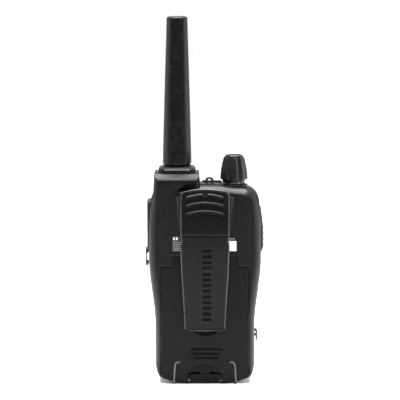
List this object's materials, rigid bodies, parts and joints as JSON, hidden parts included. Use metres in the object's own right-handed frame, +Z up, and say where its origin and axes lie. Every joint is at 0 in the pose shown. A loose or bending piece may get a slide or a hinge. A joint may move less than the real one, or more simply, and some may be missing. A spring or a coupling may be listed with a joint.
{
  "type": "portable radio",
  "caption": "Handheld two-way radio with a stub antenna, fluted volume knob, push-to-talk bar, rubber jack covers, belt clip and a latched battery door.",
  "frame": {"origin": "centre of the bounding box in plan, at the foot on which the radio stands", "axes": "+Z up along the antenna, +X to the right when the back is looked at, -Y out of the back, towards the belt clip"},
  "size_m": [0.0634, 0.0384, 0.1948],
  "materials": {
    "casing": "fine satin texture, charcoal",
    "door_plastic": "fine satin texture, charcoal",
    "clip_plastic": "fine satin texture, charcoal",
    "knob_plastic": "satin, black",
    "antenna_rubber": "smooth matt, black",
    "soft_rubber": "matt, black",
    "key_rubber": "matt, dark grey",
    "contact_steel": "plain bright",
    "brass": "plated, bright",
    "bezel_plastic": "semi-gloss, dark grey",
    "window": "clear over a dark surround, glossy",
    "display": "unlit panel",
    "board": "green solder mask",
    "jack_plastic": "black",
    "can_metal": "plain",
    "cloth": "black acoustic cloth",
    "cell_wrap": "plain printed wrap, blue",
    "label_print": "grey print on charcoal",
    "sticker": "blank white"
  },
  "bodies": {
    "body": {"rear_shell": "casing", "front_shell": "casing", "antenna_collar": "casing", "knob_collar": "casing", "antenna_sleeve": "antenna_rubber", "case_seal": "soft_rubber", "contact_spring_1": "contact_steel", "contact_spring_2": "contact_steel", "contact_spring_3": "contact_steel", "antenna_coil": "contact_steel", "case_screw_1": "contact_steel", "case_screw_2": "contact_steel", "case_screw_3": "contact_steel", "case_screw_4": "contact_steel", "antenna_ferrule": "brass", "antenna_nut": "brass", "contact_plate_1": "brass", "contact_plate_2": "brass", "contact_plate_3": "brass", "front_bezel": "bezel_plastic", "display_window": "window", "display_module": "display", "main_board": "board", "accessory_jack": "jack_plastic", "charge_jack": "jack_plastic", "ptt_switch": "jack_plastic", "shield_can": "can_metal", "volume_control": "can_metal", "speaker": "can_metal", "microphone": "can_metal", "speaker_cloth": "cloth", "battery_cell_1": "cell_wrap", "battery_cell_2": "cell_wrap", "battery_cell_3": "cell_wrap", "id_label": "label_print", "serial_sticker": "sticker"},
    "knob": {"volume_knob": "knob_plastic", "knob_shaft": "contact_steel"},
    "ptt": {"ptt_button": "soft_rubber"},
    "key_up": {"key_up": "key_rubber"},
    "key_down": {"key_down": "key_rubber"},
    "key_menu": {"key_menu": "key_rubber"},
    "key_call": {"key_call": "key_rubber"},
    "key_scan": {"key_scan": "key_rubber"},
    "key_light": {"key_light": "key_rubber"},
    "jack_cover": {"side_jack_cover": "soft_rubber"},
    "charge_cover": {"charge_jack_cover": "soft_rubber"},
    "clip_base": {"clip_bracket": "clip_plastic", "clip_pin": "contact_steel", "clip_spring": "contact_steel"},
    "clip_lever": {"belt_clip": "clip_plastic"},
    "door": {"battery_door": "door_plastic", "latch_pin": "contact_steel", "latch_spring": "contact_steel", "charge_contact_left": "contact_steel", "charge_contact_right": "contact_steel"},
    "latch": {"door_latch": "door_plastic"}
  },
  "joints": [
    {"name": "knob_turn", "type": "hinge", "parent": "body", "child": "knob", "pos_m": [0.0154, 0.004, 0.108], "axis": [0, 0, -1], "range_deg": [0, 280]},
    {"name": "ptt_press", "type": "slide", "parent": "body", "child": "ptt", "axis": [-1, 0, 0], "range_m": [0, 0.001], "stiffness_N_per_m": 3000},
    {"name": "key_up_press", "type": "slide", "parent": "body", "child": "key_up", "axis": [0, -1, 0], "range_m": [0, 0.0006], "stiffness_N_per_m": 2500},
    {"name": "key_down_press", "type": "slide", "parent": "body", "child": "key_down", "axis": [0, -1, 0], "range_m": [0, 0.0006], "stiffness_N_per_m": 2500},
    {"name": "key_menu_press", "type": "slide", "parent": "body", "child": "key_menu", "axis": [0, -1, 0], "range_m": [0, 0.0006], "stiffness_N_per_m": 2500},
    {"name": "key_call_press", "type": "slide", "parent": "body", "child": "key_call", "axis": [0, -1, 0], "range_m": [0, 0.0006], "stiffness_N_per_m": 2500},
    {"name": "key_scan_press", "type": "slide", "parent": "body", "child": "key_scan", "axis": [0, -1, 0], "range_m": [0, 0.0006], "stiffness_N_per_m": 2500},
    {"name": "key_light_press", "type": "slide", "parent": "body", "child": "key_light", "axis": [0, -1, 0], "range_m": [0, 0.0006], "stiffness_N_per_m": 2500},
    {"name": "jack_cover_swing", "type": "hinge", "parent": "body", "child": "jack_cover", "pos_m": [-0.0298, 0.0054, 0.0973], "axis": [0, 1, 0], "range_deg": [0, 110]},
    {"name": "charge_cover_swing", "type": "hinge", "parent": "body", "child": "charge_cover", "pos_m": [0.027, 0.013, 0.0264], "axis": [0, -1, 0], "range_deg": [0, 100]},
    {"name": "clip_slide", "type": "slide", "parent": "body", "child": "clip_base", "axis": [0, 0, 1], "range_m": [0, 0.025]},
    {"name": "clip_open", "type": "hinge", "parent": "clip_base", "child": "clip_lever", "pos_m": [0, -0.0144, 0.0806], "axis": [-1, 0, 0], "range_deg": [0, 8], "stiffness_Nm_per_rad": 0.4, "springref_deg": -11.46},
    {"name": "door_slide", "type": "slide", "parent": "body", "child": "door", "axis": [0, 0, -1], "range_m": [0, 0.062]},
    {"name": "latch_turn", "type": "hinge", "parent": "door", "child": "latch", "pos_m": [0, -0.0084, 0.0017], "axis": [1, 0, 0], "range_deg": [0, 35], "stiffness_Nm_per_rad": 0.002, "springref_deg": -1.72}
  ]
}
